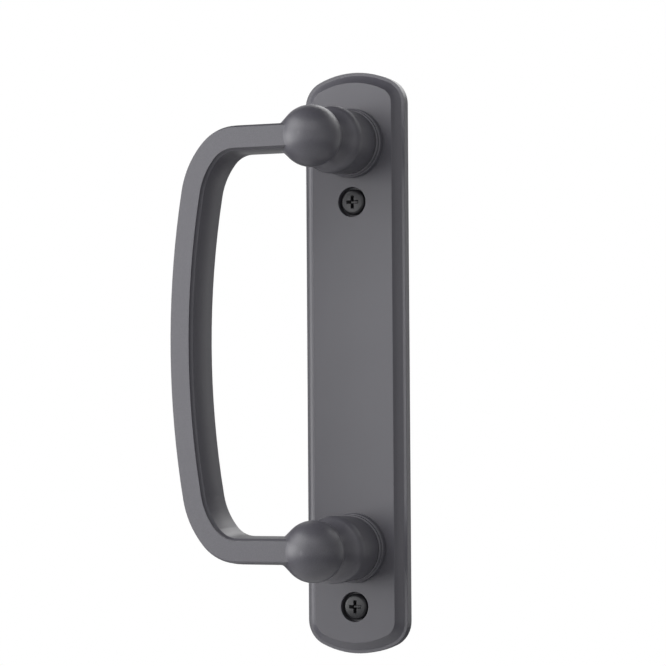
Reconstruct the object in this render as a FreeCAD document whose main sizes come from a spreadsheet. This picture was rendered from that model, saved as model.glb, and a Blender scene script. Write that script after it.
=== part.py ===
import FreeCAD, Part
import Sketcher
import math
import os
import re

# Sliding patio door handle: an arched backplate, two turned collars and a bowed
# pull that stands out to the side, with the screws that hold them together.
# Millimetres. +Z is up, the front faces -Y and the plate's back lies on Y = 0.

SIZES = {
    # backplate
    "plate_length": 242.0,
    "plate_width": 45.2,
    "plate_thickness": 7.2,
    "arch_radius": 38.0,
    "shoulder_radius": 11.2,
    "rim_height": 3.9,
    "rim_width": 1.3,
    "cove_width": 3.2,
    "cove_radius": 9.5,
    "rim_wall": 2.6,
    "rim_recess": 1.9,
    "field_wall": 5.4,
    "field_web": 2.4,
    "rib_width": 2.0,
    "rib_count": 5,
    "rib_pitch": 24.0,
    "first_rib": -52.0,
    "hub_boss_radius": 10.5,
    "screw_boss_radius": 8.2,
    # hubs from the plate's ends, each with its mounting screw below it
    "upper_hub_inset": 29.85,
    "lower_hub_inset": 43.85,
    "screw_drop": 24.4,
    "counterbore_radius": 6.25,
    "counterbore_depth": 3.5,
    "screw_hole_radius": 2.7,
    # collars
    "flange_radius": 14.4,
    "flange_height": 3.0,
    "flange_edge": 0.4,
    "bead_radius": 13.95,
    "bead_width": 1.6,
    "bead_bevel": 0.5,
    "groove_radius": 12.7,
    "groove_width": 1.0,
    "collar_foot": 13.4,
    "collar_radius": 14.0,
    "collar_corner": 22.3,
    "corner_round": 1.4,
    "cove_start": 23.8,
    "cove_outer": 13.1,
    "collar_cove": 9.6,
    "collar_height": 31.1,
    "neck_radius": 8.4,
    "collar_cavity": 18.0,
    "cavity_taper": 2.0,
    "collar_wall": 2.4,
    "post_clearance": 0.2,
    # pull
    "post_radius": 5.5,
    "ball_radius": 12.7,
    "ball_standoff": 39.3,
    "grip_ahead": 10.0,
    "grip_depth": 18.2,
    "face_width": 8.4,
    "face_cove_radius": 2.4,
    "face_cove_depth": 2.0,
    "face_cove_width": 10.2,
    "flank_depth": 11.9,
    "flank_width": 11.4,
    "flank_radius": 60.0,
    "rear_width": 11.3,
    "rear_round": 0.5,
    "grip_reach": 55.4,
    "bow_radius": 361.0,
    "arm_corner_radius": 16.0,
    "arm_corner_turn": 49.0,
    "bow_corner_radius": 33.0,
    "arm_offset": 0.2,
    "flare_foot": 5.5,
    "flare_radius": 5.0,
    "flare_angle": 40.0,
    "flare_tuck": 0.05,
    "thread_depth": 14.0,
    "thread_clearance": 0.05,
    # screws and washers
    "mounting_body": 2.15,
    "mounting_shank": 2.4,
    "mounting_length": 34.0,
    "mounting_head": 4.7,
    "mounting_head_height": 2.9,
    "pull_body": 2.25,
    "pull_shank": 2.5,
    "pull_length": 15.8,
    "pull_head": 4.4,
    "pull_head_height": 2.7,
    "pull_counterbore_radius": 5.4,
    "pull_counterbore_depth": 4.6,
    "pull_hole_radius": 2.8,
    "head_bevel": 1.1,
    "tip_length": 1.2,
    "recess_span": 2.45,
    "recess_width": 0.62,
    "recess_depth": 1.9,
    "washer_radius": 4.5,
    "washer_hole": 2.75,
    "washer_thickness": 1.2,
    "washer_slit": 0.9,
    # how far a cut or rib runs past the face it has to clear or join
    "margin": 1.0,
}

UPPER_HUB = "(plate_length / 2 - upper_hub_inset)"
LOWER_HUB = "(lower_hub_inset - plate_length / 2)"
HUBS = {"upper": UPPER_HUB, "lower": LOWER_HUB}
UPPER_ARM = f"({UPPER_HUB} - arm_offset)"
LOWER_ARM = f"({LOWER_HUB} + arm_offset)"
SCREWS = {name: f"({hub} - screw_drop)" for name, hub in HUBS.items()}

document = FreeCAD.newDocument("SlidingDoorHandle")


def make_sheet():
    """Keep the driving sizes in one sheet, one named cell each."""
    sheet = document.addObject("Spreadsheet::Sheet", "Sizes")
    for row, (alias, size) in enumerate(SIZES.items(), start=1):
        sheet.set(f"A{row}", alias)
        sheet.set(f"B{row}", str(size))
        sheet.setAlias(f"B{row}", alias)
    document.recompute()
    return sheet


def bound(text):
    """Point the size names in an expression at the sheet's cells."""
    return re.sub(r"[a-z_]{3,}", lambda word: f"Sizes.{word[0]}" if word[0] in SIZES else word[0], text)


def bind(item, **expressions):
    for path, text in expressions.items():
        item.setExpression(path.replace("__", "."), bound(text))


def measure(item, text):
    """The present value of an expression in the sizes' names."""
    result = item.evalExpression(bound(text))
    return float(getattr(result, "Value", result))


def make_body(name, y="0", z="0"):
    body = document.addObject("PartDesign::Body", name)
    body.Label = name
    bind(body, Placement__Base__y=y, Placement__Base__z=z)
    return body


def make_sketch(body, plane, name, ahead="0", up="0"):
    """A sketch on one of the body's own planes, moved along its normal and up."""
    sketch = body.newObject("Sketcher::SketchObject", f"{body.Name}_{name}")
    support = next(item for item in body.Origin.OriginFeatures if item.Role == plane)
    sketch.AttachmentSupport = [(support, "")]
    sketch.MapMode = "FlatFace"
    bind(sketch, AttachmentOffset__Base__z=ahead, AttachmentOffset__Base__y=up)
    document.recompute()
    return sketch


def arc_geometry(start, end, radius, turn):
    """The short arc from start to end; turn is 1 to the left, -1 to the right."""
    chord = end - start
    reach = math.sqrt(max(radius ** 2 - (chord.Length / 2) ** 2, 0.0))
    left = FreeCAD.Vector(-chord.y, chord.x, 0).normalize()
    center = (start + end) * 0.5 + left * (reach * turn)
    first, last = (start, end) if turn > 0 else (end, start)
    angles = [math.atan2(point.y - center.y, point.x - center.x) for point in (first, last)]
    circle = Part.Circle(center, FreeCAD.Vector(0, 0, 1), radius)
    return Part.ArcOfCircle(circle, angles[0], angles[1])


def fix_point(sketch, geometry, end, x, y):
    """Tie an end point to its place, each coordinate bound to the sheet."""
    for kind, axis, text in (("DistanceX", -2, x), ("DistanceY", -1, y)):
        place = measure(sketch, text)
        if abs(place) < 1e-9:
            sketch.addConstraint(Sketcher.Constraint("PointOnObject", geometry, end, axis))
            continue
        index = sketch.addConstraint(Sketcher.Constraint(kind, -1, 1, geometry, end, place))
        sketch.setExpression(f"Constraints[{index}]", bound(text))


def draw_profile(sketch, corners, closed=True):
    """Lines and arcs through the corners. A corner is (x, y), or (x, y, radius,
    turn) where an arc leads on to the next one."""
    points = [FreeCAD.Vector(measure(sketch, c[0]), measure(sketch, c[1]), 0) for c in corners]
    count = len(corners) if closed else len(corners) - 1
    ends = []
    for index in range(count):
        start, end = points[index], points[(index + 1) % len(points)]
        corner = corners[index]
        if len(corner) == 2:
            geometry = sketch.addGeometry(Part.LineSegment(start, end))
            ends.append((geometry, 1, 2))
            continue
        radius, turn = corner[2], corner[3]
        geometry = sketch.addGeometry(arc_geometry(start, end, measure(sketch, radius), turn))
        ends.append((geometry, 1, 2) if turn > 0 else (geometry, 2, 1))
        size = sketch.addConstraint(Sketcher.Constraint("Radius", geometry, measure(sketch, radius)))
        sketch.setExpression(f"Constraints[{size}]", bound(radius))
    for index, (geometry, start, end) in enumerate(ends):
        fix_point(sketch, geometry, start, corners[index][0], corners[index][1])
        if closed or index + 1 < count:
            following = ends[(index + 1) % count]
            sketch.addConstraint(Sketcher.Constraint("Coincident", geometry, end, following[0], following[1]))
    if not closed:
        fix_point(sketch, ends[-1][0], ends[-1][2], corners[-1][0], corners[-1][1])
    document.recompute()


def draw_circle(sketch, x, y, radius):
    center = FreeCAD.Vector(measure(sketch, x), measure(sketch, y), 0)
    circle = Part.Circle(center, FreeCAD.Vector(0, 0, 1), measure(sketch, radius))
    geometry = sketch.addGeometry(circle)
    size = sketch.addConstraint(Sketcher.Constraint("Radius", geometry, circle.Radius))
    sketch.setExpression(f"Constraints[{size}]", bound(radius))
    fix_point(sketch, geometry, 3, x, y)


def add_feature(body, kind, name, sketch, **expressions):
    feature = body.newObject(f"PartDesign::{kind}", f"{body.Name}_{name}")
    feature.Profile = sketch
    bind(feature, **expressions)
    return feature


def pad(body, name, sketch, length):
    add_feature(body, "Pad", name, sketch, Length=length)
    document.recompute()


def pocket(body, name, sketch, depth, forward=False):
    """Cut against the sketch's normal, or along it when forward."""
    before = body.Shape.Volume
    feature = add_feature(body, "Pocket", name, sketch, Length=depth)
    feature.Reversed = forward
    document.recompute()
    if not body.Shape.Volume < before - 1e-3:
        raise ValueError(f"{feature.Name} removes nothing")
    return feature


def revolve(body, name, sketch, axis="H_Axis"):
    feature = add_feature(body, "Revolution", name, sketch)
    feature.ReferenceAxis = (sketch, [axis])
    feature.Angle = 360
    document.recompute()


def plate_outline(inset="0"):
    """Straight sides, arched ends and rounded shoulders, a given inset inside the rim."""
    side = f"(plate_width / 2 - {inset})"
    middle = "(plate_length / 2 - arch_radius)"
    ratio = f"((arch_radius - {inset}) / (arch_radius - shoulder_radius))"
    across = "(plate_width / 2 - shoulder_radius)"
    rise = f"sqrt((arch_radius - shoulder_radius) ^ 2 - {across} ^ 2)"
    shoulder = f"({middle} + {rise})"
    tip_x = f"({across} * {ratio})"
    tip_z = f"({middle} + {rise} * {ratio})"
    small = f"shoulder_radius - {inset}"
    large = f"arch_radius - {inset}"
    return [
        (side, "0"),
        (side, shoulder, small, 1),
        (tip_x, tip_z, large, 1),
        (f"-{tip_x}", tip_z, small, 1),
        (f"-{side}", shoulder),
        (f"-{side}", f"-{shoulder}", small, 1),
        (f"-{tip_x}", f"-{tip_z}", large, 1),
        (tip_x, f"-{tip_z}", small, 1),
        (side, f"-{shoulder}"),
    ]


def cut_cove(body):
    """Hollow moulding between the narrow rim and the raised field."""
    path = make_sketch(body, "XZ_Plane", "cove_path")
    draw_profile(path, plate_outline())
    shape = make_sketch(body, "XY_Plane", "cove_shape")
    rim = "(plate_width / 2 - rim_width)"
    field = "(plate_width / 2 - rim_width - cove_width)"
    outside = "(plate_width / 2 + margin)"
    draw_profile(shape, [
        (rim, "-rim_height", "cove_radius", 1),
        (field, "-plate_thickness"),
        (field, "-(plate_thickness + margin)"),
        (outside, "-(plate_thickness + margin)"),
        (outside, "-rim_height"),
    ])
    before = body.Shape.Volume
    cove = add_feature(body, "SubtractivePipe", "cove", shape)
    cove.Spine = path
    document.recompute()
    print("cove removes", round(before - body.Shape.Volume, 1), "mm3")


def add_ribs(body):
    """One rib down the middle and a row of ribs across, flush with the back."""
    spine = make_sketch(body, "XZ_Plane", "spine_shape")
    tip = "(plate_length / 2 - rim_wall + margin)"
    draw_profile(spine, [
        ("rib_width / 2", f"-{tip}"),
        ("rib_width / 2", tip),
        ("-rib_width / 2", tip),
        ("-rib_width / 2", f"-{tip}"),
    ])
    pad(body, "spine", spine, "rim_recess + margin")
    rib = make_sketch(body, "XZ_Plane", "rib_shape")
    end = "(plate_width / 2 - rim_wall + margin)"
    draw_profile(rib, [
        (end, "first_rib - rib_width / 2"),
        (end, "first_rib + rib_width / 2"),
        (f"-{end}", "first_rib + rib_width / 2"),
        (f"-{end}", "first_rib - rib_width / 2"),
    ])
    low = add_feature(body, "Pad", "rib", rib, Length="rim_recess + margin")
    document.recompute()
    row = body.newObject("PartDesign::LinearPattern", f"{body.Name}_ribs")
    row.Originals = [low]
    row.Direction = (rib, ["V_Axis"])
    bind(row, Length="rib_pitch * (rib_count - 1)", Occurrences="rib_count")
    body.Tip = row
    document.recompute()


def make_backplate():
    body = make_body("backplate")
    outline = make_sketch(body, "XZ_Plane", "outline")
    draw_profile(outline, plate_outline())
    pad(body, "blank", outline, "plate_thickness")
    cut_cove(body)
    for name, inset, depth in (
        ("rim_recess", "rim_wall", "rim_recess"),
        ("field_recess", "field_wall", "plate_thickness - field_web"),
    ):
        recess = make_sketch(body, "XZ_Plane", f"{name}_shape")
        draw_profile(recess, plate_outline(inset))
        pocket(body, name, recess, depth, forward=True)
    bosses = make_sketch(body, "XZ_Plane", "boss_shapes")
    for hub in HUBS.values():
        draw_circle(bosses, "0", hub, "hub_boss_radius")
    for place in SCREWS.values():
        draw_circle(bosses, "0", place, "screw_boss_radius")
    pad(body, "bosses", bosses, "plate_thickness - field_web / 2")
    add_ribs(body)
    counterbores = make_sketch(body, "XZ_Plane", "counterbore_shapes", ahead="plate_thickness")
    screw_holes = make_sketch(body, "XZ_Plane", "screw_hole_shapes", ahead="plate_thickness")
    for place in SCREWS.values():
        draw_circle(counterbores, "0", place, "counterbore_radius")
        draw_circle(screw_holes, "0", place, "screw_hole_radius")
    pocket(body, "counterbores", counterbores, "counterbore_depth")
    pocket(body, "screw_holes", screw_holes, "plate_thickness + margin")
    seats = make_sketch(body, "XZ_Plane", "pull_seat_shapes")
    pull_holes = make_sketch(body, "XZ_Plane", "pull_hole_shapes")
    for hub in HUBS.values():
        draw_circle(seats, "0", hub, "pull_counterbore_radius")
        draw_circle(pull_holes, "0", hub, "pull_hole_radius")
    pocket(body, "pull_seats", seats, "pull_counterbore_depth", forward=True)
    pocket(body, "pull_holes", pull_holes, "plate_thickness + margin", forward=True)
    return body


def make_collar(name, hub):
    """Flared collar, turned about the post: flange, bead, groove, bell and cove."""
    body = make_body(name, y="-plate_thickness", z=hub)
    shape = make_sketch(body, "YZ_Plane", "shape")
    bead_end = "(flange_height + bead_width)"
    groove_end = f"({bead_end} + groove_width)"
    bore = "(post_radius + post_clearance)"
    draw_profile(shape, [
        ("0", "flange_radius"),
        ("-(flange_height - flange_edge)", "flange_radius"),
        ("-flange_height", "flange_radius - flange_edge"),
        ("-flange_height", "bead_radius - bead_bevel"),
        ("-(flange_height + bead_bevel)", "bead_radius"),
        (f"-({bead_end} - bead_bevel)", "bead_radius"),
        (f"-{bead_end}", "bead_radius - bead_bevel"),
        (f"-{bead_end}", "groove_radius"),
        (f"-{groove_end}", "groove_radius"),
        (f"-{groove_end}", "collar_foot"),
        ("-collar_corner", "collar_radius", "corner_round", 1),
        ("-cove_start", "cove_outer", "collar_cove", -1),
        ("-collar_height", "neck_radius"),
        ("-collar_height", bore),
        ("-collar_cavity", bore),
        ("-(collar_cavity - cavity_taper)", "groove_radius - collar_wall"),
        ("0", "groove_radius - collar_wall"),
    ])
    revolve(body, "turned", shape)
    return body


def grip_path():
    """Arm, corner of two radii, long bow, corner, arm: each run tangent to the next."""
    half = f"(({UPPER_ARM} - {LOWER_ARM}) / 2)"
    middle = f"(({UPPER_ARM} + {LOWER_ARM}) / 2)"
    bow_x = "(bow_radius - grip_reach)"
    wider = "(bow_corner_radius - arm_corner_radius)"
    center_z = f"({half} - arm_corner_radius - {wider} * cos(arm_corner_turn))"
    run = f"sqrt((bow_radius - bow_corner_radius) ^ 2 - {center_z} ^ 2)"
    arm_x = f"({bow_x} - {run} - {wider} * sin(arm_corner_turn))"
    corner_x = f"({arm_x} - arm_corner_radius * sin(arm_corner_turn))"
    corner_z = f"({half} - arm_corner_radius * (1 - cos(arm_corner_turn)))"
    ratio = "(bow_radius / (bow_radius - bow_corner_radius))"
    touch_x = f"({bow_x} - {run} * {ratio})"
    touch_z = f"({center_z} * {ratio})"
    return [
        ("0", UPPER_ARM),
        (arm_x, UPPER_ARM, "arm_corner_radius", 1),
        (corner_x, f"{middle} + {corner_z}", "bow_corner_radius", 1),
        (touch_x, f"{middle} + {touch_z}", "bow_radius", 1),
        (touch_x, f"{middle} - {touch_z}", "bow_corner_radius", 1),
        (corner_x, f"{middle} - {corner_z}", "arm_corner_radius", 1),
        (arm_x, LOWER_ARM),
        ("0", LOWER_ARM),
    ]


def grip_section():
    """Flat face between two small coves, then swelling flanks up to a sharp line,
    and behind it a strip that draws in to the back."""
    front = "(ball_standoff + grip_ahead)"
    rear = f"({front} - grip_depth)"
    face = (f"-{front}", "face_width / 2", "face_cove_radius", 1)
    cove = (f"-({front} - face_cove_depth)", "face_cove_width / 2", "flank_radius", -1)
    line = (f"-({front} - flank_depth)", "flank_width / 2")
    strip = (f"-({rear} + rear_round)", "rear_width / 2", "rear_round", -1)
    back = (f"-{rear}", "rear_width / 2 - rear_round")
    return [
        face,
        cove,
        line,
        strip,
        back,
        (back[0], f"-({back[1]})", "rear_round", -1),
        (strip[0], f"-({strip[1]})"),
        (line[0], f"-({line[1]})", "flank_radius", -1),
        (cove[0], f"-({cove[1]})", "face_cove_radius", 1),
        (face[0], f"-({face[1]})"),
    ]


def add_flare(body, name, hub):
    """Throat where an arm swells into its ball: a cone that touches the ball and
    curves out of the arm, turned about the arm."""
    shape = make_sketch(body, "XZ_Plane", f"{name}_flare_shape", ahead="ball_standoff", up=hub)
    inner = "(ball_radius - flare_tuck)"
    touch = (f"(-{inner} * sin(flare_angle))", f"({inner} * cos(flare_angle))")
    lift = "(flare_foot + flare_radius * (1 - cos(flare_angle)))"
    start = f"({touch[0]} - ({touch[1]} - {lift}) / tan(flare_angle))"
    root = f"({start} - flare_radius * sin(flare_angle))"
    draw_profile(shape, [
        (root, "0"),
        (root, "flare_foot", "flare_radius", 1),
        (start, lift),
        touch,
        ("-ball_radius / 3", touch[1]),
        ("-ball_radius / 3", "0"),
    ])
    revolve(body, f"{name}_flare", shape)


def add_ball(body, name, hub):
    """Post and ball end, turned about the hub's axis."""
    shape = make_sketch(body, "YZ_Plane", f"{name}_ball_shape", up=hub)
    back = "(ball_standoff - collar_height)"
    step = "(ball_radius - neck_radius)"
    draw_profile(shape, [
        ("0", "0"),
        ("0", "post_radius"),
        ("-collar_height", "post_radius"),
        ("-collar_height", "neck_radius", f"({back} ^ 2 + {step} ^ 2) / (2 * {step})", 1),
        ("-ball_standoff", "ball_radius", "ball_radius", 1),
        ("-(ball_standoff + ball_radius)", "0"),
    ])
    revolve(body, f"{name}_ball", shape)


def make_pull():
    body = make_body("pull_handle", y="-plate_thickness")
    path = make_sketch(body, "XZ_Plane", "grip_path", ahead="ball_standoff")
    draw_profile(path, grip_path(), closed=False)
    section = make_sketch(body, "YZ_Plane", "grip_section", up=UPPER_ARM)
    draw_profile(section, grip_section())
    grip = add_feature(body, "AdditivePipe", "grip", section)
    grip.Spine = path
    document.recompute()
    for name, hub in HUBS.items():
        add_flare(body, name, hub)
    trim = make_sketch(body, "XZ_Plane", "trim_shape", ahead="ball_standoff + grip_ahead - grip_depth")
    for hub in HUBS.values():
        draw_circle(trim, "0", hub, "2 * ball_radius")
    pocket(body, "trim", trim, "grip_depth")
    for name, hub in HUBS.items():
        add_ball(body, name, hub)
    threads = make_sketch(body, "XZ_Plane", "thread_shapes")
    for hub in HUBS.values():
        draw_circle(threads, "0", hub, "pull_shank + thread_clearance")
    pocket(body, "threads", threads, "thread_depth", forward=True)
    return body


def cut_recess(body, height):
    """Cross recess in a screw's head."""
    shape = make_sketch(body, "XZ_Plane", "recess_shape", ahead=height)
    arm = ("recess_span", "recess_width")
    corners = [(arm[0], f"-{arm[1]}"), arm, (arm[1], arm[1]), (arm[1], arm[0])]
    corners += [(f"-{arm[1]}", arm[0]), (f"-{arm[1]}", arm[1]), (f"-{arm[0]}", arm[1])]
    corners += [(f"-{arm[0]}", f"-{arm[1]}"), (f"-{arm[1]}", f"-{arm[1]}"), (f"-{arm[1]}", f"-{arm[0]}")]
    corners += [(arm[1], f"-{arm[0]}"), (arm[1], f"-{arm[1]}")]
    draw_profile(shape, corners)
    pocket(body, "recess", shape, "recess_depth")


def make_screw(name, kind, y, z, body_length, turned=False):
    """Pan-head screw with its head towards -Y, or towards +Y when turned. Its
    plain body ends where the rolled thread, a little larger, begins."""
    body = make_body(name, y=y, z=z)
    if turned:
        body.Placement.Rotation = FreeCAD.Rotation(FreeCAD.Vector(0, 0, 1), 180)
    shape = make_sketch(body, "YZ_Plane", "shape")
    length, shank, plain = f"{kind}_length", f"{kind}_shank", f"{kind}_body"
    head, height = f"{kind}_head", f"{kind}_head_height"
    draw_profile(shape, [
        (length, "0"),
        (length, f"{shank} - tip_length / 2"),
        (f"{length} - tip_length", shank),
        (body_length, shank),
        (body_length, plain),
        ("0", plain),
        ("0", head),
        (f"-({height} - head_bevel)", head),
        (f"-{height}", f"{head} - head_bevel"),
        (f"-{height}", "0"),
    ])
    revolve(body, "turned", shape)
    cut_recess(body, height)
    return body


def make_washer(name, hub):
    """Split lock washer under a pull screw's head."""
    body = make_body(name, y="-(pull_counterbore_depth - washer_thickness)", z=hub)
    ring = make_sketch(body, "XZ_Plane", "ring_shape")
    draw_circle(ring, "0", "0", "washer_radius")
    draw_circle(ring, "0", "0", "washer_hole")
    pad(body, "ring", ring, "washer_thickness")
    slit = make_sketch(body, "XZ_Plane", "slit_shape")
    draw_profile(slit, [
        ("washer_hole / 2", "-washer_slit / 2"),
        ("washer_radius + 1", "-washer_slit / 2"),
        ("washer_radius + 1", "washer_slit / 2"),
        ("washer_hole / 2", "washer_slit / 2"),
    ])
    pocket(body, "slit", slit, "washer_thickness", forward=True)
    return body


def make_parts():
    bodies = [make_backplate(), make_pull()]
    for name, hub in HUBS.items():
        bodies.append(make_collar(f"{name}_collar", hub))
        seat = "(pull_counterbore_depth - washer_thickness)"
        reach = f"plate_thickness - {seat}"
        bodies.append(make_screw(f"{name}_pull_screw", "pull", f"-{seat}", hub, reach, turned=True))
        bodies.append(make_washer(f"{name}_lock_washer", hub))
        floor = "(plate_thickness - counterbore_depth)"
        place = SCREWS[name]
        bodies.append(make_screw(f"{name}_mounting_screw", "mounting", f"-{floor}", place, floor))
    return bodies


def check_and_write(bodies):
    """Refuse any failed object, then write each piece under its own name."""
    for item in document.Objects:
        if {"Invalid", "Error"} & set(item.State):
            raise ValueError(f"{item.Name} failed: {item.State}")
    for body in bodies:
        if body.Shape.isNull() or not body.Shape.isValid() or len(body.Shape.Solids) != 1:
            raise ValueError(f"{body.Label} is not one valid solid")
    os.makedirs("parts", exist_ok=True)
    for body in bodies:
        body.Shape.exportStep(f"parts/{body.Label}.step")
        box = body.Shape.BoundBox
        print(f"{body.Label}: {body.Shape.Volume:.0f} mm3, {box.XLength:.1f} x {box.YLength:.1f} x {box.ZLength:.1f}")


make_sheet()
check_and_write(make_parts())
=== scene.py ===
"""Sliding patio door handle: finishes, turned details, studio light and camera
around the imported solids."""

import math

import bmesh
import bpy
from mathutils import Matrix, Vector


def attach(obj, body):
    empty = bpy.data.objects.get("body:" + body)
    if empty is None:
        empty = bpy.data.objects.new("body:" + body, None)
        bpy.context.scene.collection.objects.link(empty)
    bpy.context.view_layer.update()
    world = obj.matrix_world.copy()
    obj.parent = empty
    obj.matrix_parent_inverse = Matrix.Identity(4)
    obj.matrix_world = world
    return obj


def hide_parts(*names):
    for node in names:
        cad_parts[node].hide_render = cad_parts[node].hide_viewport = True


MM = 0.001

# places of the real pieces, in millimetres, as in the source
PLATE_FACE = 7.2
HUB_HEIGHTS = {"upper": 91.15, "lower": -77.15}
SCREW_DROP = 24.4
COUNTERBORE_DEPTH = 3.5

# watts of the soft boxes round the handle, by elevation and azimuth in degrees: a
# broad bright front and left that fades into a dark right, and a high back for the
# upper edges
SOFT_BOXES = {
    35: {
        -150: 0.8, -90: 0.2, -60: 3.2, -30: 3.4, 0: 1.4, 30: 1.4,
        60: 0.5, 90: 0.3, 120: 0.4, 150: 1.2, 180: 3.0,
    },
    0: {
        -150: 0.6, -120: 0.3, -90: 2.6, -60: 5.4, -30: 3.0, 0: 1.2,
        30: 0.8, 60: 1.0, 90: 0.5, 120: 0.4, 150: 0.6, 180: 1.3,
    },
}

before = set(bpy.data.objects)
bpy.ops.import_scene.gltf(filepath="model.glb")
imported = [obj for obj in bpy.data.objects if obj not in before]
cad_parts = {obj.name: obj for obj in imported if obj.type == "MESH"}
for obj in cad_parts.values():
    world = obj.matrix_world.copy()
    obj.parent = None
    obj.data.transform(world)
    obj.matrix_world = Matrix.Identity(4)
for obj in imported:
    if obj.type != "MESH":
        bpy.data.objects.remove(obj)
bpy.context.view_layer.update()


def linear(colour):
    """An sRGB hex colour such as "5a5b5f" as linear red, green, blue and alpha."""
    parts = [int(colour[i : i + 2], 16) / 255 for i in (0, 2, 4)]
    return [p / 12.92 if p <= 0.04045 else ((p + 0.055) / 1.055) ** 2.4 for p in parts] + [1.0]


def add_node(tree, kind, links=None, **settings):
    """Add a node. Settings that name a socket set it, others set the node's own
    properties. Each link is input: (node, output)."""
    node = tree.nodes.new(kind)
    for name, value in settings.items():
        if hasattr(node, name):
            setattr(node, name, value)
        else:
            node.inputs[name.replace("_", " ")].default_value = value
    for name, (source, output) in (links or {}).items():
        tree.links.new(source.outputs[output], node.inputs[name])
    return node


def new_material(name):
    material = bpy.data.materials.new(name)
    material.use_nodes = True
    material.node_tree.nodes.clear()
    return material, material.node_tree


def finish_material(tree, shader):
    add_node(tree, "ShaderNodeOutputMaterial", {"Surface": (shader, "BSDF")})


def noise(tree, place, width, detail):
    """Noise whose blotches are about this many millimetres wide."""
    return add_node(
        tree, "ShaderNodeTexNoise", {"Vector": (place, "Object")}, Scale=1 / (width * MM), Detail=detail
    )


def blend(tree, factor, low, high):
    """A colour between two, by a noise."""
    mix = add_node(tree, "ShaderNodeMix", {"Factor": (factor, "Fac")}, data_type="RGBA")
    mix.inputs["A"].default_value = linear(low)
    mix.inputs["B"].default_value = linear(high)
    return mix


def satin_powder_coat():
    """Satin powder coat on die-cast zinc: dark grey with a broad soft sheen, edges
    rounded by the coat's thickness, and the faint orange peel that its flow leaves."""
    material, tree = new_material("satin powder-coated die-cast zinc")
    place = add_node(tree, "ShaderNodeTexCoord")
    peel = noise(tree, place, 0.9, 2.0)
    grain = noise(tree, place, 0.3, 2.0)
    cloud = noise(tree, place, 18.0, 3.0)
    tone = blend(tree, grain, "38373c", "54535a")
    gloss = add_node(tree, "ShaderNodeMapRange", {"Value": (cloud, "Fac")}, To_Min=0.37, To_Max=0.43)
    edges = add_node(tree, "ShaderNodeBevel", Radius=0.3 * MM, samples=6)
    bump = add_node(
        tree,
        "ShaderNodeBump",
        {"Height": (peel, "Fac"), "Normal": (edges, "Normal")},
        Strength=0.25,
        Distance=0.04 * MM,
    )
    shader = add_node(
        tree,
        "ShaderNodeBsdfPrincipled",
        {"Base Color": (tone, "Result"), "Roughness": (gloss, "Result"), "Normal": (bump, "Normal")},
        Metallic=0.0,
        IOR=1.5,
    )
    finish_material(tree, shader)
    return material


def black_oxide_steel():
    """Black oxide on steel screws: near black and satin, with a fine grain."""
    material, tree = new_material("black oxide steel")
    place = add_node(tree, "ShaderNodeTexCoord")
    pits = noise(tree, place, 0.4, 2.0)
    tone = blend(tree, pits, "202022", "2b2b2e")
    gloss = add_node(tree, "ShaderNodeMapRange", {"Value": (pits, "Fac")}, To_Min=0.28, To_Max=0.4)
    bump = add_node(
        tree, "ShaderNodeBump", {"Height": (pits, "Fac")}, Strength=0.2, Distance=0.03 * MM
    )
    shader = add_node(
        tree,
        "ShaderNodeBsdfPrincipled",
        {"Base Color": (tone, "Result"), "Roughness": (gloss, "Result"), "Normal": (bump, "Normal")},
        Metallic=0.3,
    )
    finish_material(tree, shader)
    return material


def zinc_plated_steel():
    """Dull zinc plating on the hidden steel screws and washers, with its soft bloom."""
    material, tree = new_material("dull zinc-plated steel")
    place = add_node(tree, "ShaderNodeTexCoord")
    bloom = noise(tree, place, 1.5, 3.0)
    tone = blend(tree, bloom, "a3a6aa", "b4b6b8")
    gloss = add_node(tree, "ShaderNodeMapRange", {"Value": (bloom, "Fac")}, To_Min=0.32, To_Max=0.44)
    shader = add_node(
        tree,
        "ShaderNodeBsdfPrincipled",
        {"Base Color": (tone, "Result"), "Roughness": (gloss, "Result")},
        Metallic=1.0,
    )
    finish_material(tree, shader)
    return material


def dress(nodes, material):
    """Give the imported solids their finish."""
    for name in nodes:
        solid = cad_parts[name]
        for slot in solid.material_slots:
            slot.material = material


def arc(start, end, radius, turn, steps):
    """Points from start up to, but without, end on a circle; turn is 1 or -1."""
    start, end = Vector(start), Vector(end)
    chord = end - start
    reach = math.sqrt(radius**2 - (chord.length / 2) ** 2)
    center = (start + end) / 2 + Vector((-chord.y, chord.x)).normalized() * reach * turn
    first, last = start - center, end - center
    sweep = first.angle_signed(last)
    points = [center + Matrix.Rotation(-sweep * k / steps, 2) @ first for k in range(steps)]
    return [tuple(p) for p in points]


def quarter(start, corner, end, steps=5):
    """Points on a small rounding from start to end round a corner, without end."""
    start, corner, end = Vector(start), Vector(corner), Vector(end)
    points = []
    for k in range(steps):
        t = math.pi / 2 * k / steps
        points.append(corner + (start - corner) * (1 - math.sin(t)) + (end - corner) * (1 - math.cos(t)))
    return [tuple(p) for p in points]


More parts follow.
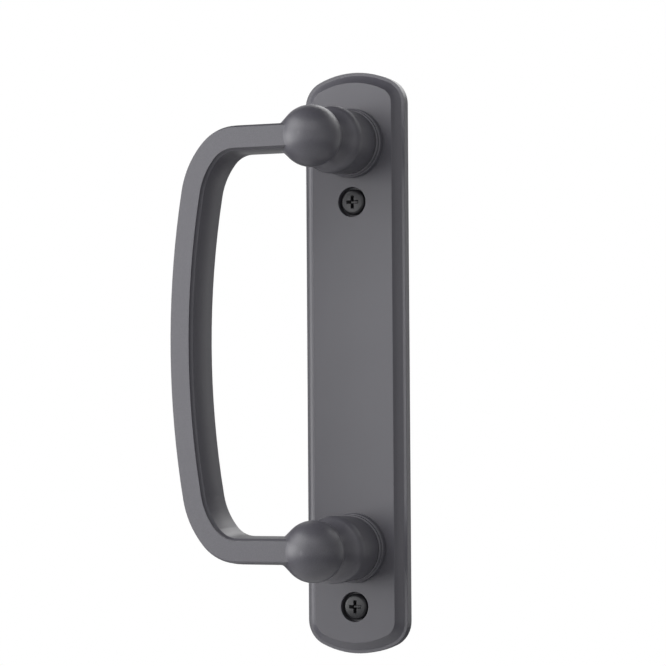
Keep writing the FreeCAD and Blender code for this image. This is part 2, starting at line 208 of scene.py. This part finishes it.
def turned(name, profile, y, z, material, closed=False, segments=128, shape=None):
    """A skin turned about the line x = 0 at height z. A profile point is its
    distance from y towards the front and its radius; shape may move a point."""
    mesh = bmesh.new()
    rings = []
    for ahead, radius in profile:
        ring = []
        for k in range(segments):
            angle = 2 * math.pi * k / segments
            a, r = shape(ahead, radius, angle) if shape else (ahead, radius)
            spot = (r * math.cos(angle) * MM, (y - a) * MM, (z + r * math.sin(angle)) * MM)
            ring.append(mesh.verts.new(spot))
        rings.append(ring)
    pairs = list(zip(rings, rings[1:]))
    if closed:
        pairs.append((rings[-1], rings[0]))
    else:
        mesh.faces.new(rings[0])
        mesh.faces.new(rings[-1])
    for one, other in pairs:
        for k in range(segments):
            n = (k + 1) % segments
            mesh.faces.new((one[k], one[n], other[n], other[k]))
    bmesh.ops.recalc_face_normals(mesh, faces=mesh.faces)
    data = bpy.data.meshes.new(name)
    mesh.to_mesh(data)
    mesh.free()
    data.shade_smooth()
    data.set_sharp_from_angle(angle=math.radians(38))
    data.materials.append(material)
    piece = bpy.data.objects.new(name, data)
    bpy.context.collection.objects.link(piece)
    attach(piece, "root")
    return piece


def add_collar(name, z, material):
    """Flared collar with the rounded bead, groove and lips that the casting has."""
    flange, bead, groove, foot, neck = 14.4, 13.95, 12.7, 13.4, 8.4
    flange_top, bead_top, groove_top, top = 3.0, 4.6, 5.6, 31.1
    bore, bore_foot, hollow, hollow_top = 5.7, 18.0, 10.3, 16.0
    edge, roll, lip = 0.6, 0.75, 0.25
    waist, bell, mouth = (14.0, 13.71), (19.6, 13.88), (23.2, 12.7)
    bell_radius, cove_radius = 4.2, 11.5
    profile = [(0.0, flange)]
    profile += quarter((flange_top - edge, flange), (flange_top, flange), (flange_top, flange - edge))
    profile += [(flange_top, flange - edge)]
    profile += quarter((flange_top, bead - roll), (flange_top, bead), (flange_top + roll, bead))
    profile += quarter((bead_top - roll, bead), (bead_top, bead), (bead_top, bead - roll))
    profile += [(bead_top, bead - roll), (bead_top, groove), (groove_top, groove)]
    profile += quarter((groove_top, foot - lip), (groove_top, foot), (groove_top + lip, foot + 0.01))
    profile += [(groove_top + lip, foot + 0.01), waist]
    profile += arc(bell, mouth, bell_radius, -1, 14)
    profile += arc(mouth, (top, neck), cove_radius, 1, 24)
    profile += [(top, neck), (top, bore), (bore_foot, bore), (hollow_top, hollow), (0.0, hollow)]
    piece = turned(f"{name}_collar_detail", profile, -PLATE_FACE, z, material, closed=True)
    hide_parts(f"{name}_collar")


def cross_recess(ahead, radius, angle):
    """How deep the driver's cross cuts into a pan head at a point, on top of its dome;
    the head's underside stays flat."""
    if ahead <= 0.0:
        return ahead, radius
    u, v = abs(radius * math.cos(angle)), abs(radius * math.sin(angle))
    along, across = max(u, v), min(u, v)
    half_width, reach, wall_slope, end_slope, floor = 0.7, 2.75, 7.0, 1.7, 2.2
    depth = min((half_width - across) * wall_slope, (reach - along) * end_slope, floor)
    return ahead - max(depth, 0.0), radius


def thread(pitch, depth, start, end):
    """A screw thread between two distances, fading out towards its ends."""

    def shape(ahead, radius, angle):
        fade = min(1.0, max(0.0, (start - ahead) / pitch), max(0.0, (ahead - end) / pitch))
        phase = (ahead / pitch + angle / (2 * math.pi)) % 1.0
        return ahead, radius - depth * fade * min(1.0, abs(2 * phase - 1) * 1.25)

    return shape


def add_mounting_screw(name, z, material):
    """Pan head screw in the plate's counterbore: a domed head with a tapered cross
    recess, and a rolled thread behind the plate."""
    head, height, rim, shoulder, dome = 5.35, 3.3, 1.6, 1.5, 0.25
    length, tip_radius, body_radius, thread_radius, depth = 34.0, 1.8, 2.15, 2.4, 0.45
    centre, overlap = 0.02, 0.1
    seat = -(PLATE_FACE - COUNTERBORE_DEPTH)
    crown = [(0.0, centre), (0.0, head), (rim, head)]
    steps, rings = 14, 60
    for k in range(1, steps + 1):
        t = math.pi / 2 * k / steps
        ahead = rim + (height - dome - rim) * math.sin(t)
        crown.append((ahead, head - shoulder * (1 - math.cos(t))))
    flat = head - shoulder
    for k in range(1, rings):
        r = flat * (1 - k / rings)
        crown.append((height - dome * (r / flat) ** 2, r))
    crown.append((height, centre / 2))
    crown_piece = turned(
        f"{name}_mounting_screw_head", crown, seat, z, material,
        segments=160, shape=cross_recess,
    )
    start, end, pitch = -3.8, -32.8, 1.06
    body = [(-length, centre), (-length, tip_radius), (end, thread_radius)]
    count = int((start - end) / pitch * 8)
    body += [(end + (start - end) * k / count, thread_radius) for k in range(1, count + 1)]
    body += [(COUNTERBORE_DEPTH - PLATE_FACE, body_radius), (overlap, body_radius), (overlap, centre)]
    shank_piece = turned(
        f"{name}_mounting_screw_thread", body, seat, z, material,
        segments=40, shape=thread(pitch, depth, start, end),
    )
    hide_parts(f"{name}_mounting_screw")
    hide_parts(f"{name}_mounting_screw")


def add_soft_box(name, azimuth, elevation, strength):
    """A square soft box a metre away that faces the middle of the handle."""
    lamp = bpy.data.lights.new(name, "AREA")
    lamp.shape = "SQUARE"
    lamp.size = 0.55
    lamp.energy = strength
    box = bpy.data.objects.new(name, lamp)
    a, e = math.radians(azimuth), math.radians(elevation)
    towards = Vector((math.sin(a) * math.cos(e), -math.cos(a) * math.cos(e), math.sin(e)))
    box.location = towards
    box.rotation_euler = towards.to_track_quat("Z", "Y").to_euler()
    box.visible_camera = False
    bpy.context.collection.objects.link(box)


def add_camera():
    """The photograph's viewpoint: 25 degrees to the right, from slightly below, with
    a long lens and a third of a degree of roll."""
    camera = bpy.data.cameras.new("Camera")
    camera.lens = 167.9
    camera.sensor_width = 36.0
    camera.clip_start = 0.1
    spot = Vector((538.31, -1181.10, -26.95)) * MM
    aim = Vector((-12.41, -0.08, 12.55)) * MM
    back = (spot - aim).normalized()
    level = Vector((0, 0, 1)).cross(back).normalized()
    up = back.cross(level)
    roll = math.radians(0.38)
    right = level * math.cos(roll) - up * math.sin(roll)
    upright = back.cross(right)
    holder = bpy.data.objects.new("Camera", camera)
    turn = Matrix((right, upright, back)).transposed()
    holder.matrix_world = Matrix.Translation(spot) @ turn.to_4x4()
    bpy.context.collection.objects.link(holder)
    bpy.context.scene.camera = holder


def add_floor():
    """A plain pale floor well under the handle, which hangs on a door."""
    size, drop = 1.0, -0.7
    mesh = bpy.data.meshes.new("floor")
    corners = [(-size, -size, drop), (size, -size, drop), (size, size, drop), (-size, size, drop)]
    mesh.from_pydata(corners, [], [(0, 1, 2, 3)])
    material, tree = new_material("pale studio floor")
    shader = add_node(tree, "ShaderNodeBsdfPrincipled", Base_Color=linear("e6e6e6"), Roughness=0.9)
    finish_material(tree, shader)
    mesh.materials.append(material)
    floor = bpy.data.objects.new("floor", mesh)
    bpy.context.collection.objects.link(floor)


def light_world():
    """White to the camera, and only a trace of fill for the rest: the soft boxes
    carry the light."""
    world = bpy.data.worlds.new("studio")
    world.use_nodes = True
    tree = world.node_tree
    tree.nodes.clear()
    path = add_node(tree, "ShaderNodeLightPath")
    seen = add_node(
        tree,
        "ShaderNodeMath",
        {0: (path, "Is Camera Ray"), 1: (path, "Is Transmission Ray")},
        operation="MAXIMUM",
    )
    fill = add_node(tree, "ShaderNodeBackground", Color=linear("ffffff"), Strength=0.01)
    white = add_node(tree, "ShaderNodeBackground", Color=linear("ffffff"), Strength=1.0)
    mix = add_node(
        tree,
        "ShaderNodeMixShader",
        {0: (seen, "Value"), 1: (fill, "Background"), 2: (white, "Background")},
    )
    add_node(tree, "ShaderNodeOutputWorld", {"Surface": (mix, "Shader")})
    bpy.context.scene.world = world


coat = satin_powder_coat()
black = black_oxide_steel()
dress(["backplate", "pull_handle"], coat)
dress(
    ["upper_pull_screw", "lower_pull_screw", "upper_lock_washer", "lower_lock_washer"],
    zinc_plated_steel(),
)
for hub, height in HUB_HEIGHTS.items():
    add_collar(hub, height, coat)
    add_mounting_screw(hub, height - SCREW_DROP, black)

add_camera()
add_floor()
light_world()
for elevation, row in SOFT_BOXES.items():
    for azimuth, strength in row.items():
        add_soft_box(f"soft box {azimuth} {elevation}", azimuth, elevation, strength)

bpy.context.scene.view_settings.view_transform = "Standard"
